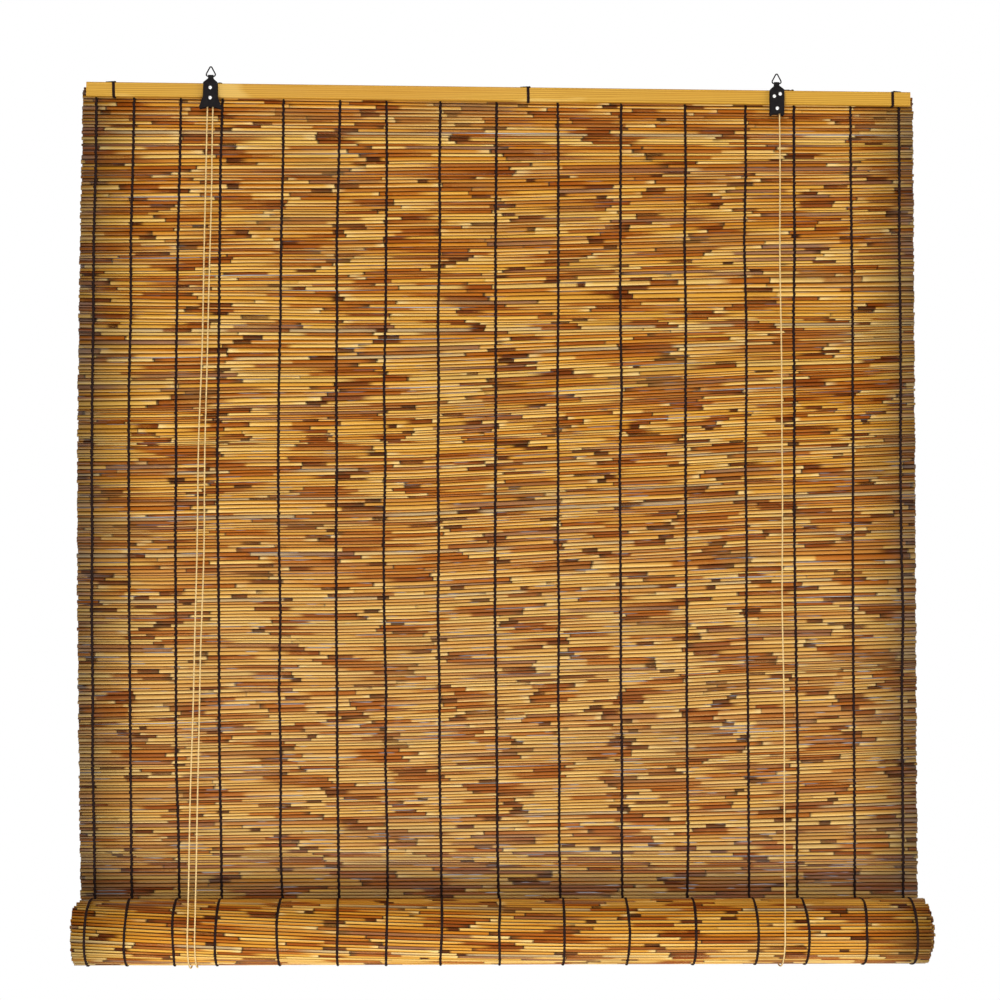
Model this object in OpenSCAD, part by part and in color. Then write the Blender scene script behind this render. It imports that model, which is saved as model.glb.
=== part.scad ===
// Reed roll-up blind, half raised. A mat of reeds woven on twine hangs behind a wooden
// batten from two hangers, and its lower half is wound into a roll that the cords carry.
// X runs across the blind, -Y faces the viewer and Z is up. The origin lies on the hanging
// line, level with the seats of the two rings and over the middle of the mat.

/* [Mat] */
// Width of the reed mat
mat_w = 1000; // [800:10:1200]
// Drop from the top of the batten to the axis of the roll
drop = 1005; // [700:5:1400]
// Thickness of the mat, which is one reed
reed_d = 4; // [3:0.1:5]
// Distance from one reed to the next
reed_pitch = 3.84; // [3:0.02:5]
// Depth of the groove between two reeds
groove_depth = 1.2; // [0.6:0.1:1.4]
// Number of slits where daylight shows between reeds
slit_count = 110; // [0:1:120]
// Height of a slit
slit_h = 0.9; // [0.4:0.1:1.4]

/* [Roll] */
// Diameter over the outer turn
roll_d = 76; // [60:1:100]
// Gap between one turn and the next
turn_gap = 0.3; // [0.2:0.05:0.6]
// How far the innermost turn stands out of the right end
roll_bulge = 10; // [0:0.5:20]

/* [Battens] */
// How far each batten stops short of the mat's side
batten_inset = 5; // [0:1:20]
// Height of a batten
batten_h = 17; // [12:0.5:25]
// Thickness of a batten
batten_t = 7; // [5:0.5:10]
// Radius of a batten's long edges
batten_edge_r = 1.5; // [0.5:0.1:2.4]
// Space between the batten and the mat
batten_gap = 1.2; // [1.1:0.1:3]
// Distance from the batten's top down to the mat's top
mat_setdown = 4.6; // [4:0.1:6]

/* [Twine] */
// Width of a twine
twine_w = 2.8; // [1.6:0.1:3.4]
// Thickness of a twine
twine_t = 1; // [0.6:0.1:1.1]
// Distance from the mat's side to the first twine
twine_margin = 17; // [10:1:40]
// Distance from the batten's left end to its first tie
left_tie_inset = 33; // [12:1:60]
// Distance from the batten's right end to its last tie
right_tie_inset = 21; // [12:1:60]
// Place of the middle tie across the blind
middle_tie_x = 33; // [20:1:50]

/* [Hangers] */
// Distance from the batten's left end to the left hanger
left_hanger_inset = 148; // [120:1:150]
// Distance from the batten's right end to the right hanger
right_hanger_inset = 163; // [160:1:180]
// Diameter of the ring's wire
ring_wire = 1.6; // [1.2:0.1:2.2]
// Width inside the ring
ring_w = 9.2; // [8:0.1:12]
// Height inside the ring
ring_h = 9.8; // [8:0.1:14]
// Thickness of the strap's sheet
strap_t = 1; // [0.8:0.1:1.4]
// Width of the strap where it is folded over the ring
neck_w = 6.4; // [4:0.1:7]
// Distance from the ring's bar down to the batten's top
neck_h = 7.6; // [7:0.1:12]
// Width of the strap over the batten
body_w = 17; // [15:0.5:22]
// Width of the left strap's flared foot
flare_w = 27; // [22:0.5:34]
// Distance from the batten's top down to the straps' foot
strap_drop = 32; // [30:0.5:40]
// Space between the two legs of a strap
leg_gap = 6; // [5:0.1:8]
// Diameter of a rivet's shank
rivet_d = 2; // [1.6:0.1:2.4]
// Diameter of a rivet's head
rivet_head_d = 4.6; // [4:0.1:5]
// Height of a rivet's head
rivet_head_h = 1.3; // [0.8:0.1:1.8]
// Diameter of the sheave and of the thimble
sheave_d = 11.4; // [10.8:0.1:12.5]

/* [Cords] */
// Diameter of the cord
cord_d = 2; // [1.6:0.1:2.2]

/* [Fits] */
// Radial play of a pin in its hole
pin_gap = 0.05; // [0.02:0.01:0.1]
// Space between parts that move past each other
run_gap = 0.3; // [0.2:0.05:0.5]
// Space between a reed's crest and what lies on it
seat_gap = 0.15; // [0.1:0.01:0.2]

/* [Hidden] */
$fn = 48;

// Steps between the hand-woven twines from left to right, closer at the sides
twine_steps = [44, 55, 50, 72, 68, 57, 64, 68, 75, 75, 78, 73, 59, 69, 59];
twine_count = len(twine_steps) + 1;
twine_names = [for (i = [1 : twine_count]) str("twine_", i < 10 ? "0" : "", i)];

// Colours
reed_colour = "#c8913f";
roll_colour = "#b87f36";
batten_colour = "#d9a441";
twine_colour = "#2a160e";
cord_colour = "#e3bf83";
iron_colour = "#17161a";
rivet_colour = "#d5d3cd";

// Depths, from the ring's plane towards the back
bar_r = ring_wire / 2;
fold_r = bar_r + pin_gap;
batten_y = fold_r + strap_t;
batten_back_y = batten_y + batten_t;
mat_front_y = batten_back_y + batten_gap;
mat_y = mat_front_y + reed_d / 2;
mat_back_y = mat_front_y + reed_d;
leg_front_y = fold_r - leg_gap;
leg_face_y = leg_front_y - strap_t;
leg_middle_y = fold_r - leg_gap / 2;

// Heights, from the rings' seats down
bar_z = -ring_h - bar_r;
batten_top_z = bar_z - neck_h;
batten_bottom_z = batten_top_z - batten_h;
mat_top_z = batten_top_z - mat_setdown;
foot_z = batten_top_z - strap_drop;
axis_z = batten_top_z - drop;

// Roll and what runs round it
roll_r = roll_d / 2;
axis_y = mat_back_y - roll_r;
roll_clear_r = roll_r + twine_t + run_gap;
cord_r = cord_d / 2;
bight_r = roll_clear_r + cord_r;
cord_back_y = axis_y + bight_r;
ring_in_r = roll_r - reed_d;
// The innermost turn starts on a corner of the foot batten and winds round it
batten_corner = [batten_t / 2 - batten_edge_r, batten_h / 2 - batten_edge_r];
core_angle = atan2(batten_corner[1], batten_corner[0]);
core_r = norm(batten_corner) + batten_edge_r + seat_gap;
turn_step = reed_d + turn_gap;
turn_start_r = core_r + reed_d / 2;
turn_count = (ring_in_r - turn_gap - reed_d / 2 - turn_start_r) / turn_step;
// The spiral runs on by this part of a turn, until it has closed into the outer turn
turn_merge = 0.45;

// The mat ends where the roll leaves it this thick
mat_lip = 1;
mat_end_z = axis_z + sqrt(pow(roll_clear_r, 2) - pow(roll_r - mat_lip, 2));
mat_rows = floor((mat_top_z - mat_end_z) / reed_pitch);
row_pitch = (mat_top_z - mat_end_z) / mat_rows;
// Part of a reed's pitch that its flat crest takes
crest_share = 0.4;

// Places across the blind
batten_w = mat_w - 2 * batten_inset;
left_x = -batten_w / 2 + left_hanger_inset;
right_x = batten_w / 2 - right_hanger_inset;
left_tie_x = -batten_w / 2 + left_tie_inset;
right_tie_x = batten_w / 2 - right_tie_inset;
twine_scale = (mat_w - 2 * twine_margin) / run_sum(twine_steps, len(twine_steps));
twine_loop_z = mat_top_z + cord_d + 2 * run_gap;

// Rivets and what turns on them
rivet_r = rivet_d / 2;
hole_r = rivet_r + pin_gap;
// A rivet's flattened tail, which is sunk flush where it lies in the batten
tail_h = 0.8;
tail_r = 1.7 * rivet_r;
spacer_wall = 0.9;
left_rivet_drop = 7;
left_axle_drop = 19.1;
right_rivet_drops = [8.9, 6];
right_rivet_offsets = [-3.6, 3.4];
right_thimble_drop = 23.4;
sheave_web = 0.85;
sheave_r = sheave_d / 2;
groove_r = hole_r + sheave_web + run_gap + cord_r;
left_axle_z = batten_top_z - left_axle_drop;
right_thimble_z = batten_top_z - right_thimble_drop;

// How far each cord leans sideways on its way down to the roll
lift_lean = -9;
pull_lean = -7;
right_lean = -2;
lift_x = left_x - groove_r + lift_lean;
pull_x = left_x + groove_r + pull_lean;
right_cord_x = right_x + groove_r + right_lean;
// Where the front cords leave the sheave and the thimble
left_cord_top = [left_x - groove_r, leg_middle_y, left_axle_z - run_gap];
pull_cord_top = [left_x + groove_r, leg_middle_y, left_axle_z - run_gap];
right_cord_top = [right_x + groove_r, leg_middle_y, right_thimble_z - groove_r - cord_r - run_gap];
// The front legs of the bights reach this far above the roll's axis
bight_rise = 46;
// The pull cord's end is tucked under the left bight, at this angle round the roll
tuck_angle = 290;
tuck_reach = 14;
// The bight is lifted by the tucked cord within this angle to each side of it
tuck_spread = 50;
knot_r = 2.2;
cord_sides = 8;
// The cross cord lies on the top reed, and its ends turn down this far into the back cords
cross_z = mat_top_z + cord_r + run_gap;
cross_turn_h = 16;
back_cord_top_z = cross_z - cross_turn_h;

// How far a cutting shape reaches past what it cuts
cut_over = 1;

// Sum of the first n values of a list
function run_sum(v, n, i = 0) = i >= n ? 0 : v[i] + run_sum(v, n, i + 1);
function twine_x(i) = -mat_w / 2 + twine_margin + twine_scale * run_sum(twine_steps, i);

// A point at an angle and radius round the roll's axis, counted from the back over the top
function round_roll(x, angle, r) = [x, axis_y + r * cos(angle), axis_z + r * sin(angle)];

// Where a straight cord from the point p meets the bights' circle at the roll's front
function touch_angle(p) =
    atan2(p.z - axis_z, p.y - axis_y) + acos(bight_r / norm([p.y - axis_y, p.z - axis_z]));

function along(a, b, z) = a + (b - a) * (z - a.z) / (b.z - a.z);

// A tube along a route. Each ring has a side vector, which never points along the route.
function unit(v) = v / norm(v);
function heading(p, i) =
    unit((i > 0 ? unit(p[i] - p[i - 1]) : [0, 0, 0])
        + (i < len(p) - 1 ? unit(p[i + 1] - p[i]) : [0, 0, 0]));
function tube_ring(p, i, r, side, count) =
    let (ahead = heading(p, i), u = unit(cross(side, ahead)), v = cross(ahead, u))
    [for (k = [0 : count - 1])
        p[i] + r * (cos(360 * k / count) * u + sin(360 * k / count) * v)];
// The same side vector for every ring of a route
function one_side(route, side) = [for (p = route) side];

module tube(route, r, sides, count = cord_sides) {
    n = len(route);
    points = [for (i = [0 : n - 1]) each tube_ring(route, i, r, sides[i], count)];
    walls = [for (i = [0 : n - 2], k = [0 : count - 1])
        let (a = i * count, b = (k + 1) % count)
        [a + k, a + count + k, a + count + b, a + b]];
    first_end = [for (k = [0 : count - 1]) k];
    last_end = [for (k = [count - 1 : -1 : 0]) (n - 1) * count + k];
    polyhedron(points, concat(walls, [first_end, last_end]), convexity = 6);
}

// Draws a Y-Z section along X, from x0 to x1
module along_x(x0, x1) {
    translate([x0, 0, 0])
        rotate([90, 0, 90])
            linear_extrude(x1 - x0)
                children();
}

// A pin along Y, from y0 to y1
module pin_y(x, z, r, y0, y1) {
    translate([x, y1, z])
        rotate([90, 0, 0])
            cylinder(r = r, h = y1 - y0);
}

module batten_section() {
    square([batten_t - 2 * batten_edge_r, batten_h], center = true);
    square([batten_t, batten_h - 2 * batten_edge_r], center = true);
    for (y = [-1, 1], z = [-1, 1])
        translate([y * (batten_t / 2 - batten_edge_r), z * (batten_h / 2 - batten_edge_r)])
            circle(r = batten_edge_r);
}

// A hole through the batten for a fixing rivet, with a seat for its tail in the back
module rivet_seat(x, z) {
    pin_y(x, z, hole_r, batten_y - cut_over, batten_back_y + cut_over);
    pin_y(x, z, tail_r + pin_gap, batten_back_y - tail_h, batten_back_y + cut_over);
}

module head_batten() {
    color(batten_colour)
        difference() {
            along_x(-batten_w / 2, batten_w / 2)
                translate([batten_y + batten_t / 2, batten_top_z - batten_h / 2])
                    batten_section();
            rivet_seat(left_x, batten_top_z - left_rivet_drop);
            for (i = [0, 1])
                rivet_seat(right_x + right_rivet_offsets[i], batten_top_z - right_rivet_drops[i]);
        }
}

// The slat sewn to the mat's lower edge, which is the core of the roll
module foot_batten() {
    color(batten_colour)
        along_x(-batten_w / 2, batten_w / 2)
            translate([axis_y, axis_z])
                batten_section();
}

// One side of the mat in section, a groove and a flat crest for each reed
function mat_side(front) =
    let (crest_y = front ? mat_front_y : mat_back_y,
        groove_y = crest_y + (front ? groove_depth : -groove_depth),
        half = crest_share * row_pitch / 2)
    concat(
        [for (i = [0 : mat_rows - 1])
            let (z = mat_top_z - (i + 0.5) * row_pitch)
            each [[groove_y, z + row_pitch / 2], [crest_y, z + half], [crest_y, z - half]]],
        [[groove_y, mat_end_z]]);

module mat_section() {
    back = mat_side(false);
    difference() {
        polygon(concat(mat_side(true), [for (i = [len(back) - 1 : -1 : 0]) back[i]]));
        translate([axis_y, axis_z])
            circle(r = roll_clear_r, $fn = 180);
    }
}

// Slits between reeds, at places and of lengths that vary like the reeds
module mat_slits() {
    // Rows at the top and the bottom that stay whole
    whole_rows = 8;
    lengths = rands(18, 80, slit_count, 11);
    places = rands(-0.46, 0.46, slit_count, 12);
    rows = rands(whole_rows, mat_rows - whole_rows, slit_count, 13);
    for (i = [0 : 1 : slit_count - 1])
        translate([places[i] * mat_w, mat_y, mat_top_z - round(rows[i]) * row_pitch])
            cube([lengths[i], 2 * reed_d, slit_h], center = true);
}

module tie_slot(x) {
    translate([x, mat_y, batten_bottom_z - twine_t / 2])
        cube([twine_w + 2 * run_gap, 2 * reed_d, twine_t + 2 * run_gap], center = true);
}

module reed_mat() {
    color(reed_colour)
        difference() {
            along_x(-mat_w / 2, mat_w / 2)
                mat_section();
            mat_slits();
            for (x = [left_tie_x, middle_tie_x, right_tie_x])
                tie_slot(x);
        }
}

// The outer turn, with the same ridges as the mat
module outer_turn_section() {
    count = round(2 * PI * (roll_r - reed_d / 2) / reed_pitch);
    step = 360 / count;
    half = crest_share * step / 2;
    difference() {
        polygon([for (i = [0 : count - 1])
            each [for (p = [[-step / 2, roll_r - groove_depth], [-half, roll_r], [half, roll_r]])
                p[1] * [cos(i * step + p[0]), sin(i * step + p[0])]]]);
        circle(r = ring_in_r, $fn = 180);
    }
}

// Direction from the roll's axis after a count of turns
function spoke(turns) = [cos(360 * turns + core_angle), sin(360 * turns + core_angle)];

// A stretch of the spiral between two counts of turns
module spiral_section(from, to) {
    steps_per_turn = 24;
    steps = ceil((to - from) * steps_per_turn);
    turns = [for (i = [0 : steps]) from + (to - from) * i / steps];
    outer = [for (t = turns) (turn_start_r + turn_step * t + reed_d / 2) * spoke(t)];
    inner = [for (t = turns) (turn_start_r + turn_step * t - reed_d / 2) * spoke(t)];
    polygon(concat(outer, [for (i = [steps : -1 : 0]) inner[i]]));
}

// All turns are one solid, and each inner turn stands a little further out of the right end
module reed_roll() {
    whole = ceil(turn_count + turn_merge);
    // Each turn starts this much of a turn back, inside the one before it
    overlap = 0.01;
    color(roll_colour)
        translate([0, axis_y, axis_z]) {
            along_x(-mat_w / 2, mat_w / 2)
                outer_turn_section();
            for (k = [0 : whole - 1])
                along_x(-mat_w / 2, mat_w / 2 + roll_bulge * (1 - k / whole))
                    spiral_section(max(0, k - overlap), min(k + 1, turn_count + turn_merge));
        }
}

module roll_twines() {
    color(twine_colour)
        for (i = [0 : twine_count - 1])
            along_x(twine_x(i) - twine_w / 2, twine_x(i) + twine_w / 2)
                translate([axis_y, axis_z])
                    difference() {
                        circle(r = roll_r + twine_t, $fn = 180);
                        circle(r = roll_r + seat_gap, $fn = 180);
                    }
}

// One warp twine, down the front of the mat and down its back, looped over the top reed
module twine(i) {
    strand_y = mat_front_y - twine_t - axis_y;
    front_end_z = axis_z + sqrt(pow(roll_clear_r, 2) - pow(strand_y, 2));
    color(twine_colour)
        along_x(twine_x(i) - twine_w / 2, twine_x(i) + twine_w / 2) {
            translate([mat_front_y - twine_t, front_end_z])
                square([twine_t, twine_loop_z + twine_t - front_end_z]);
            translate([mat_back_y, mat_end_z])
                square([twine_t, twine_loop_z + twine_t - mat_end_z]);
            translate([mat_front_y - twine_t, twine_loop_z])
                square([reed_d + 2 * twine_t, twine_t]);
        }
}

// A twine tied round the batten and through the mat
module tie(x) {
    color(twine_colour)
        along_x(x - twine_w / 2, x + twine_w / 2)
            difference() {
                translate([batten_y - twine_t, batten_bottom_z - twine_t])
                    square([mat_back_y - batten_y + 2 * twine_t, batten_h + 2 * twine_t]);
                translate([batten_y, batten_bottom_z])
                    square([mat_back_y - batten_y, batten_h]);
            }
}

// Points along a bend of the ring's wire, in the X-Z plane
function wire_bend(centre, r, from, to) =
    let (steps = 6)
    [for (i = [0 : steps])
        let (angle = from + (to - from) * i / steps)
        [centre[0] + r * cos(angle), 0, centre[1] + r * sin(angle)]];

// A pear-shaped wire ring. Its straight lower bar is the pin that the strap is folded over.
module wire_ring(x) {
    // Radii of the wire's middle round the two lower bends and the top one
    corner_r = 1.4 + bar_r;
    apex_r = 0.6 + bar_r;
    corner = [ring_w / 2 + bar_r - corner_r, bar_z + corner_r];
    apex = [0, bar_r - apex_r];
    span = corner - apex;
    // Direction square to the ring's side, which touches both bends
    lean = atan2(span[1], span[0]) + acos((apex_r - corner_r) / norm(span));
    // The bent wire starts and ends inside the bar, and is drawn a little thinner there
    bent_r = 0.98 * bar_r;
    wire_sides = 12;
    route = concat(
        [[corner[0] - bar_r, 0, bar_z]],
        wire_bend(corner, corner_r, -90, lean),
        wire_bend(apex, apex_r, lean, 180 - lean),
        wire_bend([-corner[0], corner[1]], corner_r, 180 - lean, 270),
        [[bar_r - corner[0], 0, bar_z]]);
    color(iron_colour)
        translate([x, 0, 0]) {
            translate([-corner[0], 0, bar_z])
                rotate([0, 90, 0])
                    cylinder(r = bar_r, h = 2 * corner[0]);
            tube(route, bent_r, one_side(route, [0, 1, 0]), wire_sides);
        }
}

// The strap seen from the side: a sheet folded over the ring's bar, with its front leg set out
module strap_section() {
    // The fold closes a little past the bar's middle, and the legs start there
    fold_lap = 0.5;
    leg_start_z = bar_z - 0.2;
    set_out_z = bar_z - 2;
    leg_top_z = batten_top_z - 1.5;
    fold_out_r = fold_r + strap_t;
    translate([0, bar_z])
        intersection() {
            difference() {
                circle(r = fold_out_r);
                circle(r = fold_r);
            }
            translate([-2 * fold_out_r, -fold_lap])
                square([4 * fold_out_r, 2 * fold_out_r]);
        }
    translate([fold_r, foot_z])
        square([strap_t, leg_start_z - foot_z]);
    polygon([[-fold_out_r, leg_start_z], [-fold_out_r, set_out_z], [leg_face_y, leg_top_z],
        [leg_face_y, foot_z], [leg_front_y, foot_z], [leg_front_y, leg_top_z],
        [-fold_r, set_out_z], [-fold_r, leg_start_z]]);
}

// The strap seen from the front, with a foot of the given width and a shallow bite out of it
module strap_outline(foot_w) {
    top_z = bar_z + fold_r + strap_t;
    shoulder_top_z = bar_z - 3;
    shoulder_z = batten_top_z - 0.5;
    flare_z = batten_bottom_z;
    bite_w = 9;
    bite_h = 2;
    corner_cut = 1;
    right = [[bite_w / 2, foot_z + bite_h], [foot_w / 2 - corner_cut, foot_z],
        [foot_w / 2, foot_z + corner_cut],
        [body_w / 2, flare_z], [body_w / 2, shoulder_z], [neck_w / 2, shoulder_top_z],
        [neck_w / 2, top_z]];
    left = [for (i = [len(right) - 1 : -1 : 0]) [-right[i][0], right[i][1]]];
    polygon(concat(right, left));
}

// The holes are given as pairs of an offset across and a height
module strap(x, foot_w, holes) {
    color(iron_colour)
        translate([x, 0, 0])
            difference() {
                intersection() {
                    along_x(-foot_w, foot_w)
                        strap_section();
                    rotate([90, 0, 0])
                        linear_extrude(4 * leg_gap, center = true)
                            strap_outline(foot_w);
                }
                for (hole = holes)
                    pin_y(hole[0], hole[1], hole_r, leg_face_y - cut_over, batten_y + cut_over);
            }
}

// A rivet with a domed head on the strap's face and a flat tail behind y_end
module rivet(x, z, y_end) {
    head_r = rivet_head_d / 2;
    dome_r = (pow(head_r, 2) + pow(rivet_head_h, 2)) / (2 * rivet_head_h);
    color(rivet_colour)
        translate([x, leg_face_y, z])
            rotate([90, 0, 0])
                rotate_extrude() {
                    intersection() {
                        translate([0, rivet_head_h - dome_r])
                            circle(r = dome_r, $fn = 96);
                        square([head_r, rivet_head_h]);
                    }
                    translate([0, leg_face_y - y_end])
                        square([rivet_r, y_end - leg_face_y]);
                    translate([0, leg_face_y - y_end - tail_h])
                        square([tail_r, tail_h]);
                }
}

// A bush that keeps the legs apart on a fixing rivet
module spacer(x, z) {
    color(iron_colour)
        difference() {
            pin_y(x, z, hole_r + spacer_wall, leg_front_y, fold_r);
            pin_y(x, z, hole_r, leg_front_y - cut_over, fold_r + cut_over);
        }
}

// A grooved wheel on a rivet, between the legs
module grooved_wheel(x, z) {
    wheel_w = leg_gap - 2 * run_gap;
    groove_half = cord_r + run_gap;
    // The groove widens to its mouth, and leaves a rim on each side
    mouth_flare = 1.5;
    rim_w = 0.4;
    mouth_half = min(groove_half * mouth_flare, wheel_w / 2 - rim_w);
    color(iron_colour)
        translate([x, leg_middle_y, z])
            rotate([90, 0, 0])
                rotate_extrude()
                    difference() {
                        translate([hole_r, -wheel_w / 2])
                            square([sheave_r - hole_r, wheel_w]);
                        translate([groove_r, 0])
                            circle(r = groove_half);
                        polygon([[groove_r, -groove_half], [sheave_r + cut_over, -mouth_half],
                            [sheave_r + cut_over, mouth_half], [groove_r, groove_half]]);
                    }
}

// Cord laid in a wheel's groove, through an angle that starts on the right side
module groove_cord(x, z, angle) {
    color(cord_colour)
        translate([x, leg_middle_y, z])
            rotate([90, 0, 0])
                rotate_extrude(angle = angle)
                    translate([groove_r, 0])
                        circle(d = cord_d);
}

module straight_cord(a, b) {
    tube([a, b], cord_r, one_side([a, b], [1, 0, 0]));
}

// Straight front cord from its top down to the bight's leg
module front_cord(top, x) {
    foot = round_roll(x, touch_angle(top), bight_r);
    color(cord_colour)
        straight_cord(top, along(top, foot, axis_z + bight_rise + run_gap));
}

// Straight cord behind the mat, from the cross cord's end to the bight
module back_cord(x) {
    color(cord_colour)
        straight_cord([x, cord_back_y, back_cord_top_z], [x, cord_back_y, axis_z + run_gap]);
}

// Front leg of a bight and its way round under the roll, up to the given angle.
// Where the pull cord's end is tucked under it, the bight stands off by one cord.
function bight_route(top, x, end_angle, stand_off) =
    let (start = touch_angle(top), foot = round_roll(x, start, bight_r), steps = 14)
    concat(
        [along(top, foot, axis_z + bight_rise)],
        [for (i = [0 : steps])
            let (angle = start + (end_angle - start) * i / steps,
                near = max(0, 1 - abs(angle - tuck_angle) / tuck_spread))
            round_roll(x, angle, bight_r + stand_off * pow(sin(90 * near), 2))]);

// Outward directions from the roll's axis, with the straight leg's taken from its foot
function outwards(route) =
    [for (i = [0 : len(route) - 1])
        let (p = route[max(1, i)])
        unit([0, p.y - axis_y, p.z - axis_z])];

module bight(route) {
    tube(route, cord_r, outwards(route));
}

module left_bight() {
    color(cord_colour)
        bight(bight_route(left_cord_top, lift_x, 360, cord_d + run_gap));
}

module right_bight() {
    color(cord_colour)
        bight(bight_route(right_cord_top, right_cord_x, 360, 0));
}

// The pull cord's end goes under the roll and then sideways, trapped by the left bight
function tail_route() =
    let (bend_angle = 30, tip_angle = 5,
        down = bight_route(pull_cord_top, pull_x, tuck_angle - bend_angle, 0))
    concat(down,
        [round_roll(pull_x - 1, tuck_angle - 0.6 * bend_angle, bight_r),
        round_roll(pull_x - 4, tuck_angle - 0.27 * bend_angle, bight_r),
        round_roll(lift_x, tuck_angle, bight_r),
        round_roll(pull_x - tuck_reach, tuck_angle + tip_angle, bight_r)]);

module pull_cord_tail() {
    color(cord_colour)
        bight(tail_route());
}

// The knot sits on the cord's tip, and stands off the roll by as much as it is thicker than the cord
module pull_cord_knot() {
    route = tail_route();
    n = len(route);
    tip = route[n - 1];
    color(cord_colour)
        translate(tip + (knot_r + seat_gap) * unit(tip - route[n - 2])
                + (knot_r - cord_r + seat_gap) * outwards(route)[n - 1])
            sphere(r = knot_r);
}

// The cord's run over the top reed, under the twines' loops, from one back cord to the other
// Each bend point has a way inwards, a share of the way from behind the mat to over it, and a height.
function corner_route(x, inwards) =
    [for (p = [[0, 0, -cross_turn_h], [0, 0, -10], [1, 0, -5], [4, 0, -1.5], [8, 0, 0], [14, 0.4, 0],
            [20, 1, 0]])
        [x + inwards * p.x, cord_back_y - p.y * (cord_back_y - mat_y), cross_z + p.z]];

module cross_cord() {
    right = corner_route(right_cord_x, -1);
    route = concat(corner_route(lift_x, 1), [for (i = [len(right) - 1 : -1 : 0]) right[i]]);
    color(cord_colour)
        tube(route, cord_r, one_side(route, [0, 1, 0]));
}

head_batten();
foot_batten();
reed_mat();
reed_roll();
roll_twines();
tie(left_tie_x);  // left_tie
tie(middle_tie_x);  // middle_tie
tie(right_tie_x);  // right_tie
wire_ring(left_x);  // left_ring
strap(left_x, flare_w, [[0, batten_top_z - left_rivet_drop], [0, left_axle_z]]);  // left_strap
rivet(left_x, batten_top_z - left_rivet_drop, batten_back_y - tail_h);  // left_fixing_rivet
spacer(left_x, batten_top_z - left_rivet_drop);  // left_spacer
rivet(left_x, left_axle_z, batten_y);  // left_axle_rivet
grooved_wheel(left_x, left_axle_z);  // left_sheave
wire_ring(right_x);  // right_ring
strap(right_x, body_w, [  // right_strap
        [right_rivet_offsets[0], batten_top_z - right_rivet_drops[0]],
        [right_rivet_offsets[1], batten_top_z - right_rivet_drops[1]],
        [0, right_thimble_z]]);
for (i = [0, 1])  // right_fixing_rivets
        rivet(right_x + right_rivet_offsets[i], batten_top_z - right_rivet_drops[i],
            batten_back_y - tail_h);
for (i = [0, 1])  // right_spacers
        spacer(right_x + right_rivet_offsets[i], batten_top_z - right_rivet_drops[i]);
rivet(right_x, right_thimble_z, batten_y);  // right_thimble_rivet
grooved_wheel(right_x, right_thimble_z);  // right_thimble
front_cord(left_cord_top, lift_x);  // left_lift_cord
back_cord(lift_x);  // left_back_cord
left_bight();
groove_cord(left_x, left_axle_z, 180);  // sheave_cord
front_cord(pull_cord_top, pull_x);  // pull_cord
pull_cord_tail();
pull_cord_knot();
cross_cord();
front_cord(right_cord_top, right_cord_x);  // right_lift_cord
back_cord(right_cord_x);  // right_back_cord
right_bight();
groove_cord(right_x, right_thimble_z, 360);  // right_cord_loop
for (i = [0 : twine_count - 1])
    twine(i);
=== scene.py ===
"""Looks of the reed roll-up blind: reeds, twines, cords, finishes, light and camera."""

import math

import bmesh
import bpy
import numpy as np
from mathutils import Matrix, Vector


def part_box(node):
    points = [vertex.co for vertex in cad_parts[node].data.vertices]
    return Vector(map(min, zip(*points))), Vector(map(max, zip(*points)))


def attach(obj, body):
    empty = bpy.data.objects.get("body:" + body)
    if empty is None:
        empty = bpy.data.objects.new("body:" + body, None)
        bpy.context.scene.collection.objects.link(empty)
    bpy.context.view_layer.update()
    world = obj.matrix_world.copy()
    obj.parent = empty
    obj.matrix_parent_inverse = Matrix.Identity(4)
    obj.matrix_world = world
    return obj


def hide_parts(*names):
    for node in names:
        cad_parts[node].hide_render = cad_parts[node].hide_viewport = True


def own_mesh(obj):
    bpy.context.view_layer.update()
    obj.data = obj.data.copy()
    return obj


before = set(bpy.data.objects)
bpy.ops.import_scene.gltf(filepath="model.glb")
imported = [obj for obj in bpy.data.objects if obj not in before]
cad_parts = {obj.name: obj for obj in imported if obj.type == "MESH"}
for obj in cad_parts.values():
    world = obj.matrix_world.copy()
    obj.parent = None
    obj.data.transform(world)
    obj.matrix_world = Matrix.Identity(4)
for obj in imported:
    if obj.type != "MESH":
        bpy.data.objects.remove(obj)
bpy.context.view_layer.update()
rng = np.random.default_rng(1985)


# Measures of the solids, in metres

def middle_of(node):
    low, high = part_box(node)
    return [(a + b) / 2 for a, b in zip(low, high)]


MAT_LOW, MAT_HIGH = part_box("reed_mat")
MAT_W = 1.0
MAT_TOP, MAT_END = MAT_HIGH[2], MAT_LOW[2]
MAT_FRONT, MAT_BACK = MAT_LOW[1], MAT_HIGH[1]
MAT_Y = (MAT_FRONT + MAT_BACK) / 2
REED_D = MAT_BACK - MAT_FRONT
REED_PITCH = 0.00384
BATTEN_LOW, BATTEN_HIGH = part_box("head_batten")
ROLL_R = 0.038
ROLL_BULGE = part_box("reed_roll")[1][0] - MAT_W / 2
AXIS_Y = MAT_BACK - ROLL_R
AXIS_Z = middle_of("reed_roll")[2]
TURN_STEP = 0.0043
TWINES = ["twine_%02d" % i for i in range(1, 17)]
TWINE_X = [middle_of(name)[0] for name in TWINES]
CORD_R = 0.001
# Gap that the solids leave between two pieces of cord, and that the scene closes
CORD_GAP = 0.0003
LEG_MIDDLE_Y = -0.00215
LEFT_X, RIGHT_X = -0.347, 0.332
GROOVE_R = 0.0032
LEFT_AXLE_Z = -0.0373
RIGHT_THIMBLE_Z = -0.0416
RIGHT_CORD_TOP_Z = -0.0461
LIFT_X, PULL_X, RIGHT_CORD_X = -0.3592, -0.3508, 0.3332
BIGHT_R = 0.0403
BIGHT_RISE = 0.046
TUCK_ANGLE = 290


# Shader helpers

# Sockets of a Mix node that is set to colours
MIX_FACTOR, MIX_A, MIX_B, MIX_RESULT = 0, 6, 7, 2


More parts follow.
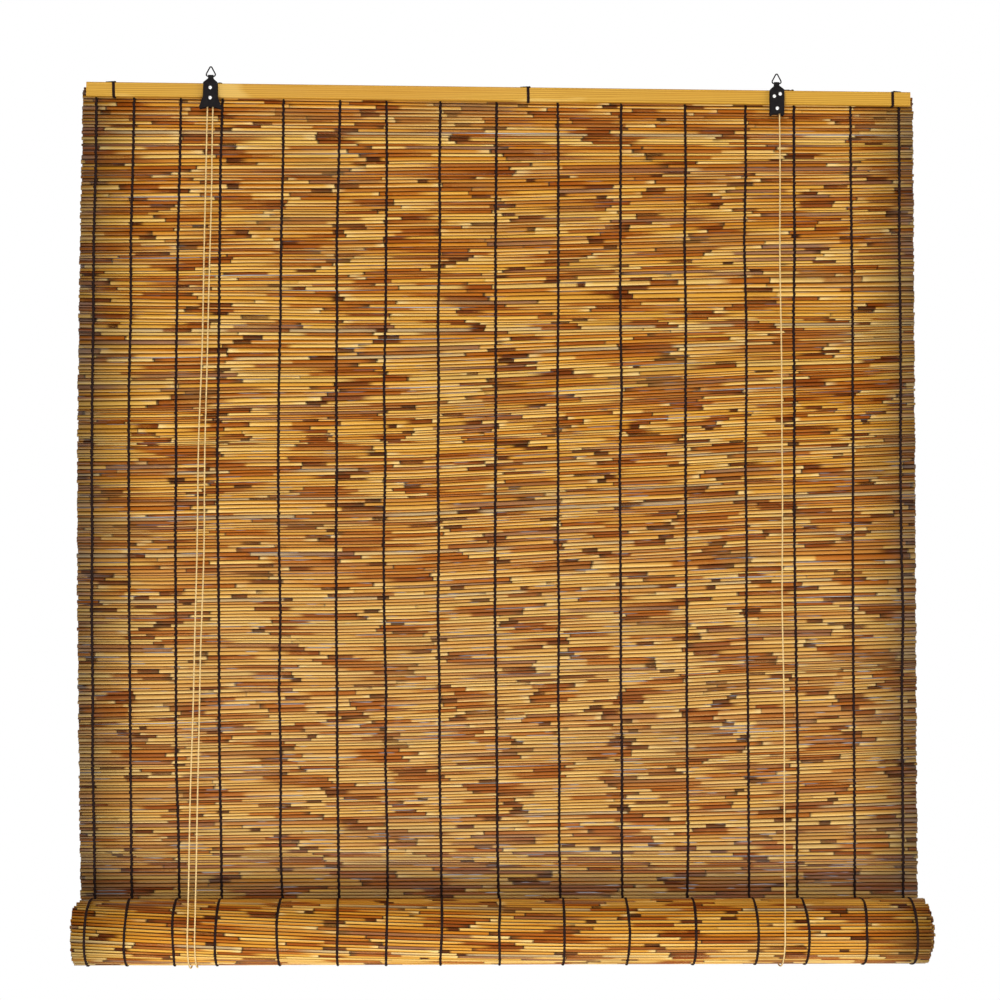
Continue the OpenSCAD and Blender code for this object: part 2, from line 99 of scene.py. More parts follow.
def wire(tree, value, socket):
    if isinstance(value, bpy.types.NodeSocket):
        tree.links.new(value, socket)
    else:
        socket.default_value = value


def fill(tree, node, sockets):
    """Wires or sets a node's inputs, by name or number."""
    for key, value in sockets.items():
        wire(tree, value, node.inputs[key])


def put(tree, kind, sockets=None, **settings):
    """A new node with its settings and its inputs."""
    node = tree.nodes.new(kind)
    for key, value in settings.items():
        setattr(node, key, value)
    fill(tree, node, sockets or {})
    return node


def maths(tree, operation, a, b=0.0):
    return put(tree, "ShaderNodeMath", {0: a, 1: b}, operation=operation).outputs[0]


def times(tree, product, *factors):
    for factor in factors:
        product = maths(tree, "MULTIPLY", product, factor)
    return product


def remap(tree, value, low, high, to_low=0.0, to_high=1.0, kind="SMOOTHSTEP"):
    """A value from one range to another. A range may run downwards."""
    sockets = {"Value": value, "From Min": low, "From Max": high, "To Min": to_low, "To Max": to_high}
    return put(tree, "ShaderNodeMapRange", sockets, interpolation_type=kind).outputs["Result"]


def tint(tree, factor, a, b, mode="MIX"):
    """Colour a mixed with, or multiplied by, colour b."""
    if isinstance(b, tuple):
        b = (*b, 1.0)
    sockets = {MIX_FACTOR: factor, MIX_A: a, MIX_B: b}
    return put(tree, "ShaderNodeMix", sockets, data_type="RGBA", blend_type=mode).outputs[MIX_RESULT]


def ramp(tree, factor, stops):
    """A colour for a value, from stops of a place and a colour."""
    node = put(tree, "ShaderNodeValToRGB", {"Fac": factor})
    elements = node.color_ramp.elements
    while len(elements) < len(stops):
        elements.new(0.5)
    for element, (place, colour) in zip(elements, stops):
        element.position = place
        element.color = (*colour, 1.0)
    return node.outputs["Color"]


def noise(tree, vector, scale, detail=2.0, roughness=0.5):
    sockets = {"Vector": vector, "Scale": scale, "Detail": detail, "Roughness": roughness}
    return put(tree, "ShaderNodeTexNoise", sockets).outputs["Fac"]


def stretched(tree, vector, scale, place=(0, 0, 0)):
    sockets = {"Vector": vector, "Scale": scale, "Location": place}
    return put(tree, "ShaderNodeMapping", sockets).outputs["Vector"]


def attribute(tree, name):
    return put(tree, "ShaderNodeAttribute", attribute_name=name).outputs["Fac"]


def object_place(tree):
    return put(tree, "ShaderNodeTexCoord").outputs["Object"]


def new_group(name, inputs, outputs):
    """A shader node group with its sockets, and the sockets of its input and output nodes."""
    tree = bpy.data.node_groups.new(name, "ShaderNodeTree")
    for way, sockets in (("INPUT", inputs), ("OUTPUT", outputs)):
        for label, kind in sockets:
            tree.interface.new_socket(label, in_out=way, socket_type="NodeSocket" + kind)
    return tree, tree.nodes.new("NodeGroupInput").outputs, tree.nodes.new("NodeGroupOutput").inputs


def new_finish(name):
    """A material with one Principled shader. Gives the material, its tree and the shader."""
    material = bpy.data.materials.new(name)
    material.use_nodes = True
    tree = material.node_tree
    return material, tree, tree.nodes["Principled BSDF"]


def bumped(tree, shader, height, strength, distance):
    sockets = {"Height": height, "Strength": strength, "Distance": distance}
    wire(tree, put(tree, "ShaderNodeBump", sockets).outputs["Normal"], shader.inputs["Normal"])


# Reed finish

# Colours of a reed by its tone, of its sheath and of its bare patches
TONES = [(0.0, (0.36, 0.090, 0.003)), (0.25, (0.53, 0.175, 0.008)), (0.5, (0.65, 0.275, 0.022)),
         (0.72, (0.73, 0.375, 0.048)), (0.9, (0.77, 0.47, 0.105)), (1.0, (0.45, 0.31, 0.16))]
STRAW = [(0.0, (0.76, 0.40, 0.05)), (1.0, (0.88, 0.57, 0.16))]
RUST = [(0.0, (0.045, 0.008, 0.001)), (0.22, (0.12, 0.021, 0.002)), (0.48, (0.28, 0.056, 0.003)),
        (0.76, (0.44, 0.120, 0.007)), (0.92, (0.30, 0.090, 0.018)), (1.0, (0.29, 0.150, 0.085))]
# Colours of its marks, and of the light and shade painted on it
# pale tip of the sheath, partly a painted highlight on its rounded end
PALE_TIP_AND_HIGHLIGHT = (0.92, 0.68, 0.28)
# painted shadow dot just past a node, where the sheath's end shades the reed
PAINTED_SHADOW_DOT = (0.050, 0.012, 0.003)
NODE_RING = (0.035, 0.012, 0.006)
DULL = (0.36, 0.19, 0.05)
TAN = (0.52, 0.33, 0.15)
GREY_SIDE = (0.46, 0.38, 0.31)
# grey veil with painted shade over the mat's foot, where the roll shades it
FOOT_GREY_AND_PAINTED_SHADE = (0.25, 0.18, 0.14)
# painted highlight along the lower side of each reed
PAINTED_HIGHLIGHT = (1.0, 0.71, 0.27)
UPPER_SHADE = (0.58, 0.46, 0.36)
# dirt and painted shade in the grooves between reeds
GROOVE_SHADE = (0.17, 0.09, 0.05)
# painted daylight glimpsed between the reeds
PAINTED_DAYLIGHT = (0.47, 0.49, 0.55)
# Colour of its reflections
VARNISH = (1.0, 0.70, 0.34, 1.0)


def bare_patch(tree, part, chance, scale):
    """Mask of the bare patch, which starts sharply at a node and fades out along the reed."""
    reach = remap(tree, maths(tree, "POWER", chance["Red"], 1.1), 0, 1, 0.10, 0.80, "LINEAR")
    reach = times(tree, reach, scale)
    fade_from = times(tree, reach, remap(tree, chance["Green"], 0, 1, 0.5, 0.97, "LINEAR"))
    shown = maths(tree, "GREATER_THAN", chance["Blue"], 0.12)
    return times(tree, remap(tree, part, reach, fade_from), shown)


def node_ring(tree, part, chance):
    """Mask of the thin ring at a node."""
    to_node = maths(tree, "MINIMUM", part, maths(tree, "SUBTRACT", 1.0, part))
    return times(tree, remap(tree, to_node, 0.014, 0.005), remap(tree, chance["Blue"], 0.2, 0.5, 0.15, 0.9))


def marked_colour(tree, tone, part, dice, chance, patch, ring):
    """Pale sheath, and a pale tip with a painted highlight before a node; after the node a painted shadow dot
    and a rusty patch.
    """
    pale = times(tree, remap(tree, part, 0.35, 0.96), remap(tree, chance["Green"], 0.2, 0.9), 0.75)
    # pale tip, partly a painted highlight
    tip_and_highlight = times(tree, remap(tree, part, 0.88, 0.97), remap(tree, chance["Blue"], 0.5, 0.85, 0.0, 0.7))
    # painted shadow dot just past the node
    painted_shadow_dot = times(tree, remap(tree, part, 0.09, 0.02), remap(tree, chance["Green"], 0.5, 0.85, 0.0, 0.75))
    colour = tint(tree, pale, ramp(tree, tone, TONES), ramp(tree, chance["Red"], STRAW))
    colour = tint(tree, tip_and_highlight, colour, PALE_TIP_AND_HIGHLIGHT)
    colour = tint(tree, patch, colour, ramp(tree, dice["Value"], RUST))
    colour = tint(tree, painted_shadow_dot, colour, PAINTED_SHADOW_DOT)
    return tint(tree, ring, colour, NODE_RING)


def aged_colour_and_painted_shade(tree, given, at, colour, streaks, patch):
    """Grain and dull clouds, a paler tan lower half, grey sides, and a grey veil with painted shade at the
    foot, above the roll.
    """
    fading_and_painted_light = given["Fading and painted light"]
    clouds = noise(tree, stretched(tree, given["Place"], (7, 30, 30)), 1.0, 1.0)
    colour = tint(tree, 1.0, colour, remap(tree, streaks, 0.25, 0.75, 0.80, 1.16, "LINEAR"), "MULTIPLY")
    colour = tint(tree, remap(tree, clouds, 0.56, 0.74, 0.0, 0.4), colour, DULL)
    tan = times(tree, remap(tree, at["Z"], -0.4, -0.75, 0.0, 0.7), fading_and_painted_light,
                remap(tree, at["Z"], MAT_END + 0.04, MAT_END + 0.16, 0.2, 1.0),
                remap(tree, patch, 0.0, 1.0, 1.0, 0.2))
    colour = tint(tree, tan, colour, TAN)
    side = times(tree, remap(tree, maths(tree, "ABSOLUTE", at["X"]), 0.462, 0.502),
                 remap(tree, streaks, 0.42, 0.62, 0.0, fading_and_painted_light))
    colour = tint(tree, side, colour, GREY_SIDE)
    # grey veil with painted shade just above the roll
    foot = times(tree, remap(tree, at["Z"], MAT_END + 0.13, MAT_END + 0.05),
                 remap(tree, streaks, 0.36, 0.62, 0.0, fading_and_painted_light))
    return tint(tree, foot, colour, FOOT_GREY_AND_PAINTED_SHADE)


def rounded_colour(tree, given, at, colour, streaks, chance, patch):
    """Painted light and shade of a round reed: a painted highlight along the lower side, painted shade on the
    upper one, dirt and painted shade in the grooves, and painted glimpses of daylight.
    """
    rim = given["Rim"]
    # painted highlight along the lower side, where the light from below falls
    lit = times(tree, remap(tree, rim, 0.0, -0.5), remap(tree, rim, -0.92, -0.66),
                remap(tree, chance["Green"], 0.15, 0.8, 0.08, 0.62), remap(tree, patch, 0.0, 1.0, 1.0, 0.12))
    colour = tint(tree, lit, colour, PAINTED_HIGHLIGHT)
    colour = tint(tree, remap(tree, rim, 0.1, 0.8, 0.0, 0.75), colour, UPPER_SHADE, "MULTIPLY")
    # dirt and painted shade in the grooves between reeds
    groove = times(tree, remap(tree, maths(tree, "ABSOLUTE", rim), 0.6, 1.0), given["Groove"],
                   remap(tree, streaks, 0.36, 0.62, 0.45, 1.0))
    colour = tint(tree, groove, colour, GROOVE_SHADE, "MULTIPLY")
    # painted glimpses of daylight between the reeds, as short pale dashes
    spots = noise(tree, stretched(tree, given["Place"], (24, 150, 230), (0, 0, 7.3)), 1.0, 1.0)
    painted_daylight = times(tree, remap(tree, spots, 0.62, 0.68), remap(tree, rim, 0.35, 0.65),
                    remap(tree, at["Z"], -0.15, -0.75, 0.7, 1.7), given["Fading and painted light"])
    return tint(tree, painted_daylight, colour, PAINTED_DAYLIGHT)


def reed_skin_group():
    """Skin of a reed. Along counts its nodes, and Rim goes from -1 in the groove below the reed to 1
    in the groove above. Patch says how long the bare patches are, Groove how dark the dirt and painted
    shade in the grooves, and Fading and painted light how grey the reeds are and how much painted shade and
    daylight they show."""
    tree, given, made = new_group(
        "reed skin",
        [("Along", "Float"), ("Seed", "Float"), ("Tone", "Float"), ("Rim", "Float"), ("Patch", "Float"),
         ("Groove", "Float"), ("Fading and painted light", "Float"), ("Place", "Vector")],
        [("Colour", "Color"), ("Roughness", "Float"), ("Height", "Float")])
    part = maths(tree, "FRACT", given["Along"])
    cell = {"X": given["Seed"], "Y": maths(tree, "FLOOR", given["Along"])}
    cell = put(tree, "ShaderNodeCombineXYZ", cell).outputs["Vector"]
    dice = put(tree, "ShaderNodeTexWhiteNoise", {"Vector": cell}, noise_dimensions="2D").outputs
    chance = put(tree, "ShaderNodeSeparateColor", {"Color": dice["Color"]}).outputs
    at = put(tree, "ShaderNodeSeparateXYZ", {"Vector": given["Place"]}).outputs
    streaks = noise(tree, stretched(tree, given["Place"], (9, 420, 420)), 1.0, 3.0, 0.6)
    patch = bare_patch(tree, part, chance, given["Patch"])
    ring = node_ring(tree, part, chance)

    colour = marked_colour(tree, given["Tone"], part, dice, chance, patch, ring)
    colour = aged_colour_and_painted_shade(tree, given, at, colour, streaks, patch)
    colour = rounded_colour(tree, given, at, colour, streaks, chance, patch)
    rough = maths(tree, "ADD", remap(tree, streaks, 0.2, 0.8, 0.34, 0.52, "LINEAR"), times(tree, patch, 0.08))
    sheath = times(tree, maths(tree, "SUBTRACT", 1.0, patch), 0.6)
    height = maths(tree, "ADD", times(tree, streaks, 0.35), maths(tree, "ADD", sheath, ring))
    for label, value in (("Colour", colour), ("Roughness", rough), ("Height", height)):
        tree.links.new(value, made[label])
    return tree


REED_SKIN = reed_skin_group()


def reed_finish(name, patch, groove, fading_and_painted_light):
    material, tree, shader = new_finish(name)
    given = {label: attribute(tree, label.lower()) for label in ("Along", "Seed", "Tone", "Rim")}
    given.update({"Patch": patch, "Groove": groove, "Fading and painted light": fading_and_painted_light, "Place": object_place(tree)})
    skin = put(tree, "ShaderNodeGroup", given, node_tree=REED_SKIN).outputs
    fill(tree, shader, {"Base Color": skin["Colour"], "Roughness": skin["Roughness"],
                        "Specular IOR Level": 0.14, "Specular Tint": VARNISH})
    bumped(tree, shader, skin["Height"], 0.5, 0.0004)
    return material


# Other finishes

def hollow_finish():
    """Painted shade inside the hollow end of a cut reed."""
    material, tree, shader = new_finish("reed hollow")
    spots = noise(tree, object_place(tree), 900.0)
    colour = ramp(tree, spots, [(0.3, (0.06, 0.03, 0.012)), (0.7, (0.16, 0.09, 0.04))])
    fill(tree, shader, {"Base Color": colour, "Roughness": 0.8})
    return material


def batten_finish():
    """Planed softwood, golden under its varnish, with the grain along the batten."""
    material, tree, shader = new_finish("batten wood")
    place = object_place(tree)
    bent = noise(tree, stretched(tree, place, (3, 40, 40)), 1.0, 1.0)
    fine = noise(tree, stretched(tree, place, (14, 700, 700)), 1.0, 3.0)
    worn = noise(tree, stretched(tree, place, (11, 45, 45), (3.1, 0, 0)), 1.0, 0.0)
    lines = put(tree, "ShaderNodeTexWave", {
        "Vector": stretched(tree, place, (2.2, 60, 150)), "Scale": 0.9, "Distortion": 5.0, "Detail": 3.0,
        "Detail Scale": 1.5}, bands_direction="Z").outputs["Fac"]
    colour = ramp(tree, lines, [(0.0, (0.49, 0.235, 0.016)), (0.5, (0.59, 0.31, 0.026)),
                                (1.0, (0.70, 0.39, 0.046))])
    colour = tint(tree, remap(tree, bent, 0.45, 0.75, 0.0, 0.55), colour, (0.58, 0.27, 0.018))
    colour = tint(tree, remap(tree, fine, 0.52, 0.72, 0.0, 0.30), colour, (0.44, 0.20, 0.015))
    colour = tint(tree, remap(tree, worn, 0.70, 0.78, 0.0, 0.6), colour, (0.80, 0.52, 0.13))
    fill(tree, shader, {"Base Color": colour, "Specular IOR Level": 0.25,
                        "Roughness": remap(tree, fine, 0.3, 0.7, 0.38, 0.55, "LINEAR")})
    bumped(tree, shader, fine, 0.25, 0.0003)
    return material


def strand_group():
    """Fibres of spun strands."""
    tree, given, made = new_group("strand fibres", [("Place", "Vector"), ("Scale", "Float")],
                                  [("Fibre", "Float")])
    tree.links.new(noise(tree, given["Place"], given["Scale"], 4.0, 0.7), made["Fibre"])
    return tree


STRAND = strand_group()


def strand_finish(name, dark, light, scale, roughness):
    material, tree, shader = new_finish(name)
    sockets = {"Place": object_place(tree), "Scale": scale}
    fibre = put(tree, "ShaderNodeGroup", sockets, node_tree=STRAND).outputs["Fibre"]
    fill(tree, shader, {"Base Color": ramp(tree, fibre, [(0.3, dark), (0.7, light)]),
                        "Roughness": roughness, "Specular IOR Level": 0.12})
    bumped(tree, shader, fibre, 0.6, 0.0003)
    return material


def iron_finish():
    """Black lacquer on thin sheet and wire, a little dusty and scuffed."""
    material, tree, shader = new_finish("black iron")
    place = object_place(tree)
    dust = noise(tree, place, 160.0, 4.0, 0.65)
    scuff = noise(tree, stretched(tree, place, (420, 420, 900)), 1.0, 3.0, 0.6)
    colour = ramp(tree, dust, [(0.35, (0.006, 0.005, 0.006)), (0.7, (0.016, 0.014, 0.014))])
    colour = tint(tree, remap(tree, scuff, 0.62, 0.74, 0.0, 0.4), colour, (0.05, 0.042, 0.034))
    fill(tree, shader, {"Base Color": colour, "Specular IOR Level": 0.06,
                        "Roughness": remap(tree, dust, 0.3, 0.7, 0.45, 0.65, "LINEAR")})
    bumped(tree, shader, dust, 0.15, 0.0004)
    return material


def rivet_finish():
    """Bright steel with fine scratches."""
    material, tree, shader = new_finish("rivet steel")
    scratch = noise(tree, stretched(tree, object_place(tree), (900, 900, 2600)), 1.0, 3.0, 0.6)
    colour = ramp(tree, scratch, [(0.3, (0.62, 0.61, 0.58)), (0.7, (0.84, 0.83, 0.80))])
    fill(tree, shader, {"Base Color": colour, "Metallic": 1.0,
                        "Roughness": remap(tree, scratch, 0.3, 0.7, 0.22, 0.42, "LINEAR")})
    bumped(tree, shader, scratch, 0.1, 0.0002)
    return material


# Groove sets the dirt and painted shade in the grooves; the last value sets the fading, the painted shade at
# the foot and the painted daylight
MAT_REED = reed_finish("mat reed", patch=1.0, groove=1.4, fading_and_painted_light=0.5)
ROLL_REED = reed_finish("roll reed", patch=1.05, groove=3.2, fading_and_painted_light=0.0)
HOLLOW = hollow_finish()
BATTEN = batten_finish()
TWINE = strand_finish("tarred twine", (0.006, 0.003, 0.003), (0.030, 0.013, 0.010), 1400.0, 0.8)
CORD = strand_finish("straw cord", (0.70, 0.45, 0.15), (0.94, 0.73, 0.38), 1700.0, 0.8)
IRON = iron_finish()
RIVET = rivet_finish()


# Mesh helpers

CORD_PLIES = 3
# Length of one turn of the plies, points in it, and a ply's radius as a share of the cord's
CORD_LAY = 0.0075
LAY_POINTS = 7
PLY_SHARE = 0.54
# A direction that no cord keeps to
ASIDE = (1.0, 0.02, 0.013)


def placed(name, mesh, body, slot, nodes, *finishes):
    """An object for a finished mesh, riding on a body in place of CAD nodes."""
    obj = bpy.data.objects.new(name, mesh)
    bpy.context.scene.collection.objects.link(obj)
    for finish in finishes:
        mesh.materials.append(finish)
    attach(obj, body)
    if nodes:
        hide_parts(*nodes)
    return obj


def shorten(obj):
    """Gives the piece its own copy of its mesh."""
    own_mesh(obj)


def strand_mesh(name, routes, radii, resolution=1):
    """Tubes along routes of points, with a radius for each point, made by a bevelled curve."""
    curve = bpy.data.curves.new(name, "CURVE")
    curve.dimensions = "3D"
    curve.bevel_depth = 1.0
    curve.bevel_resolution = resolution
    curve.use_fill_caps = True
    for route, radius in zip(routes, radii):
        spline = curve.splines.new("POLY")
        spline.points.add(len(route) - 1)
        spline.points.foreach_set("co", np.c_[route, np.ones(len(route))].ravel())
        spline.points.foreach_set("radius", np.broadcast_to(radius, len(route)).astype(float))
    former = bpy.data.objects.new(name + "_former", curve)
    bpy.context.scene.collection.objects.link(former)
    depsgraph = bpy.context.evaluated_depsgraph_get()
    mesh = bpy.data.meshes.new_from_object(former.evaluated_get(depsgraph))
    mesh.name = name
    bpy.data.objects.remove(former)
    bpy.data.curves.remove(curve)
    mesh.polygons.foreach_set("use_smooth", [True] * len(mesh.polygons))
    mesh.materials.clear()
    return mesh


def steps_of(points):
    """Lengths of the steps from point to point."""
    return np.linalg.norm(np.diff(np.asarray(points, float), axis=0), axis=1)


def spaced(points, step):
    """Points along a route at even steps, and their distances from its start."""
    points = np.asarray(points, float)
    lengths = np.r_[0, np.cumsum(steps_of(points))]
    places = np.linspace(0, lengths[-1], max(2, int(lengths[-1] / step) + 1))
    return np.stack([np.interp(places, lengths, points[:, k]) for k in range(3)], 1), places


def twisted_cord(name, points, radius=CORD_R):
    """A laid cord: plies that wind round the route."""
    route, places = spaced(points, CORD_LAY / LAY_POINTS)
    ahead = np.gradient(route, axis=0)
    ahead /= np.linalg.norm(ahead, axis=1)[:, None]
    side = np.cross(ahead, ASIDE)
    side /= np.linalg.norm(side, axis=1)[:, None]
    other = np.cross(ahead, side)
    ply_r = PLY_SHARE * radius
    routes = []
    for k in range(CORD_PLIES):
        turn = (2 * math.pi * (places / CORD_LAY + k / CORD_PLIES))[:, None]
        routes.append(route + (radius - ply_r) * (np.cos(turn) * side + np.sin(turn) * other))
    return strand_mesh(name, routes, [ply_r] * CORD_PLIES, 0)


# Reeds

REED_SIDES = 6
REED_SPANS = 10
# Wall and depth of the hollow at an end, as shares of the reed's radius and length
END_WALL = 0.4
END_DEPTH = 0.004
# Distance from one node to the next, and a count of nodes that keeps all counts above zero
NODE_STEP = (0.09, 0.20)
NODE_START = 40
# Chances that a reed is from a new bundle, that it lies like its neighbour, and that it is grey
NEW_BUNDLE = 0.42
SAME_WAY = 0.8
GREY_SHARE = 0.025
GREY_TONE = 1.0
TONE_SPREAD = 0.22
HIGHEST_TONE = 0.92


def reed_template():
    """One reed of unit size along X: a hollow-ended stalk, divided along its length."""
    bm = bmesh.new()
    bmesh.ops.create_cone(bm, cap_ends=True, segments=REED_SIDES, radius1=1.0, radius2=1.0, depth=1.0)
    bmesh.ops.rotate(bm, verts=bm.verts, matrix=Matrix.Rotation(math.radians(90), 3, "Y"))
    bmesh.ops.rotate(bm, verts=bm.verts, matrix=Matrix.Rotation(math.pi / REED_SIDES, 3, "X"))
    bmesh.ops.scale(bm, verts=bm.verts, vec=(1, 1 / math.cos(math.pi / REED_SIDES), 1))
    long_edges = [e for e in bm.edges if abs(e.verts[0].co.x - e.verts[1].co.x) > 0.5]
    bmesh.ops.subdivide_edges(bm, edges=long_edges, cuts=REED_SPANS - 1)
    for face in bm.faces:
        face.smooth = True
    for end in (-1, 1):
        cap = [f for f in bm.faces if all(v.co.x * end > 0.499 for v in f.verts)]
        bmesh.ops.inset_region(bm, faces=cap, thickness=END_WALL, use_even_offset=True)
        inner = list({v for f in cap for v in f.verts})
        bmesh.ops.translate(bm, vec=Vector((-END_DEPTH * end, 0, 0)), verts=inner)
        for face in cap:
            # the recessed end gets the painted shade of the hollow
            face.material_index = 1
    bmesh.ops.recalc_face_normals(bm, faces=bm.faces)
    mesh = bpy.data.meshes.new("reed_template")
    bm.to_mesh(mesh)
    bm.free()
    return mesh


TEMPLATE = reed_template()
UNIT = np.array([v.co for v in TEMPLATE.vertices])
STATIONS, STATION_OF = np.unique(np.round(UNIT[:, 0], 5), return_inverse=True)


def reed_nature(count, middle_tone):
    """For each reed its node offset, step and way along X, its seed and its tone. Neighbours cut from
    the same bundle have their nodes at nearly the same place, so the bare patches gather."""
    offset, step, way = np.zeros(count), np.zeros(count), np.ones(count)
    for i in range(count):
        if i == 0 or rng.random() < NEW_BUNDLE:
            offset[i] = rng.uniform(0, 1)
            step[i] = rng.uniform(*NODE_STEP)
            way[i] = rng.choice((-1, 1))
        else:
            step[i] = step[i - 1] * rng.normal(1, 0.03)
            way[i] = way[i - 1] if rng.random() < SAME_WAY else -way[i - 1]
            offset[i] = offset[i - 1] + rng.normal(0, 0.13)
    tone = np.clip(rng.normal(middle_tone, TONE_SPREAD, count), 0, HIGHEST_TONE)
    tone[rng.random(count) < GREY_SHARE] = GREY_TONE
    return offset, step, way, rng.uniform(0, 60, count), tone


def build_reeds(name, x, coordinates, middle_tone, body, node, finish):
    """Copies of the template reed in one mesh, with their own places and colour values."""
    offset, step, way, seed, tone = reed_nature(len(coordinates), middle_tone)
    bm = bmesh.new()
    for _ in coordinates:
        bm.from_mesh(TEMPLATE)
    mesh = bpy.data.meshes.new(name)
    bm.to_mesh(mesh)
    bm.free()
    mesh.vertices.foreach_set("co", coordinates.ravel())
    along = offset[:, None] + way[:, None] * x / step[:, None] + NODE_START
    for label, values in (("along", along), ("seed", seed[:, None]), ("tone", tone[:, None]),
                          ("rim", UNIT[:, 2])):
        full = np.broadcast_to(values, coordinates.shape[:2])
        layer = mesh.attributes.new(label, "FLOAT", "POINT")
        layer.data.foreach_set("value", np.ascontiguousarray(full, dtype=np.float32).ravel())
    mesh.update()
    return placed(name, mesh, body, "reed", [node], finish, HOLLOW)


# Mat

MAT_ROWS = 257
MAT_FOOT = MAT_END + 0.002
# How much taller a row is drawn than its share, so that no light shows between two rows
ROW_OVERLAP = 1.04
# Tones of the reeds at the top and at the foot
MAT_TONES = (0.31, 0.62)
END_JITTER = 0.0009
# A reed's depth follows its own height by this share, up to the greatest half depth
DEPTH_SHARE = 0.45
HALF_DEPTH = 0.0021
# Where the weave climbs to the right: shares of the drop, and the rises there
LEAN_AT = [0, 0.08, 0.5, 0.86, 1.0]
LEAN_RISE = [0, 0.001, 0.022, 0.026, 0.0]
# At half height the mat moves to the left and swells, and its foot stands to the right
BOW_SHIFT = -0.0012
BOW_SWELL = 0.0030
FOOT_DRIFT = 0.0065
# Distance from the roll's outside to the middle of the mat behind it
MAT_STAND = 0.0018

# Each row's height, its change across the mat, its wave, and how far it stands out
SIZE = np.clip(rng.normal(1, 0.19, MAT_ROWS), 0.64, 1.45)
TAPER = np.zeros(MAT_ROWS)
for row in range(1, MAT_ROWS):
    TAPER[row] = np.clip(0.55 * TAPER[row - 1] + rng.normal(0, 0.19), -0.44, 0.44)
WAVE = rng.normal(0, 0.06, MAT_ROWS)
WAVE_K = rng.uniform(4, 9, MAT_ROWS)
WAVE_AT = rng.uniform(0, 6.3, MAT_ROWS)
PROUD = np.clip(rng.normal(0, 0.00028, MAT_ROWS), -0.0005, 0.0005)
# Slits where light shows between two rows, with their height as a share of a row's
SLITS = 36
SLIT_ROW = rng.integers(8, MAT_ROWS - 8, SLITS)
SLIT_X = rng.choice(STATIONS[2:-2], SLITS) * MAT_W
SLIT_HALF = rng.uniform(0.07, 0.10, SLITS)
SLIT_H = rng.uniform(0.08, 0.17, SLITS)


def lean(x, share):
    """How far the weave climbs to the right, as the mat's rows do below its middle."""
    bend = np.sqrt((x + 0.05) ** 2 + 0.02) - 0.3
    return np.interp(share, LEAN_AT, LEAN_RISE) * (0.4 * x + 0.6 * bend)


def mat_rows(x):
    """Upper edges, lower edges and half depths of all rows at places across the mat."""
    x = np.asarray(x, float)
    wave = WAVE[:, None] * np.sin(WAVE_K[:, None] * x + WAVE_AT[:, None])
    weight = SIZE[:, None] * (1 + TAPER[:, None] * x / (MAT_W / 2) + wave)
    gap = np.zeros_like(weight)
    for row, place, half, share in zip(SLIT_ROW, SLIT_X, SLIT_HALF, SLIT_H):
        gap[row] += share * np.clip(1 - np.abs(x - place) / half, 0, 1)
    both = weight + gap
    total = both.sum(0)
    start = np.vstack([np.zeros_like(x), np.cumsum(both, 0)[:-1]]) / total
    end = start + weight / total
    high, low = (MAT_TOP - (MAT_TOP - MAT_FOOT) * share + lean(x, share) for share in (start, end))
    depth = 0.5 * (DEPTH_SHARE * (high - low) + (1 - DEPTH_SHARE) * REED_D)
    return high, low, np.minimum(depth, HALF_DEPTH)


def hang(x, z):
    """Sideways bow of the hanging mat, and its drift to the right."""
    share = np.clip((MAT_TOP - z) / (MAT_TOP - MAT_END), 0, 1)
    bow = np.sin(math.pi * share)
    return bow * (BOW_SHIFT + BOW_SWELL * x / (MAT_W / 2)) + FOOT_DRIFT * share ** 2


def mat_depth(z):
    """Depth of the mat's middle plane, which passes behind the roll at its foot."""
    inside = np.clip((ROLL_R + MAT_STAND) ** 2 - (z - AXIS_Z) ** 2, 0, None)
    return np.maximum(MAT_Y, AXIS_Y + np.sqrt(inside))


def build_mat():
    left = -MAT_W / 2 + rng.uniform(-END_JITTER, END_JITTER, MAT_ROWS)
    right = MAT_W / 2 + rng.uniform(-END_JITTER, END_JITTER, MAT_ROWS)
    high, low, depth = (edge[:, STATION_OF] for edge in mat_rows(STATIONS * MAT_W))
    middle, half = (high + low) / 2, (high - low) / 2
    x = left[:, None] + (right - left)[:, None] * (UNIT[:, 0] + 0.5)
    y = mat_depth(middle) + PROUD[:, None] + depth * UNIT[:, 1]
    z = middle + ROW_OVERLAP * half * UNIT[:, 2]
    coordinates = np.stack([x + hang(x, z), y, z], 2)
    tones = np.linspace(*MAT_TONES, MAT_ROWS)
    obj = build_reeds("reeds", x, coordinates, tones, "blind", "reed_mat", MAT_REED)
    shorten(obj)


# Roll

ROLL_TONE = 0.54
CORE_R = 0.0105
# The first turn's end dips under the hanging mat, over its last part
DIP = 0.0042
DIP_PART = 0.16
# How far the roll's left end is turned, and the part of its width that is askew
TWIST = -0.62
TWIST_FROM_X = 0.12
TWIST_W = 0.62
# Half of a reed's thickness in the roll, and how much wider it is drawn than its pitch
ROLL_REED_R = 0.00195
ROLL_OVERLAP = 1.05
# The reeds' left ends are drawn in by this much round this angle
LEFT_STEP = 0.009
LEFT_STEP_ANGLE = math.radians(75)
# From this turn inwards the reeds stand out at the right end, at first by this share of the bulge
BULGE_FROM = 0.95
BULGE_START = 0.25
# Ranges of the reeds' own places: outwards, and at their left and right ends
OUT_JITTER = (-0.0006, 0.0002)
LEFT_JITTER = (-0.0015, 0.002)
RIGHT_JITTER = (-0.0035, 0.001)
ROLL_TAPER_SPREAD = 0.15


def roll_radius(turns):
    """Radius of the reeds' middles after a count of turns inwards."""
    dip = np.clip((turns - (1 - DIP_PART)) / DIP_PART, 0, 1)
    return ROLL_R - REED_D / 2 - DIP * dip - TURN_STEP * np.clip(turns - 1, 0, None)


def roll_twist(x):
    """The roll was wound a little askew, so its reeds slope down from the left."""
    return TWIST * np.clip((TWIST_FROM_X - x) / TWIST_W, 0, 1) ** 1.5


def roll_places():
    """Counts of turns at which the reeds of the roll lie, from the outside in."""
    places, turns = [], 0.0
    while roll_radius(turns) > CORE_R:
        places.append(turns)
        turns += REED_PITCH / (2 * math.pi * roll_radius(turns))
    return np.array(places)


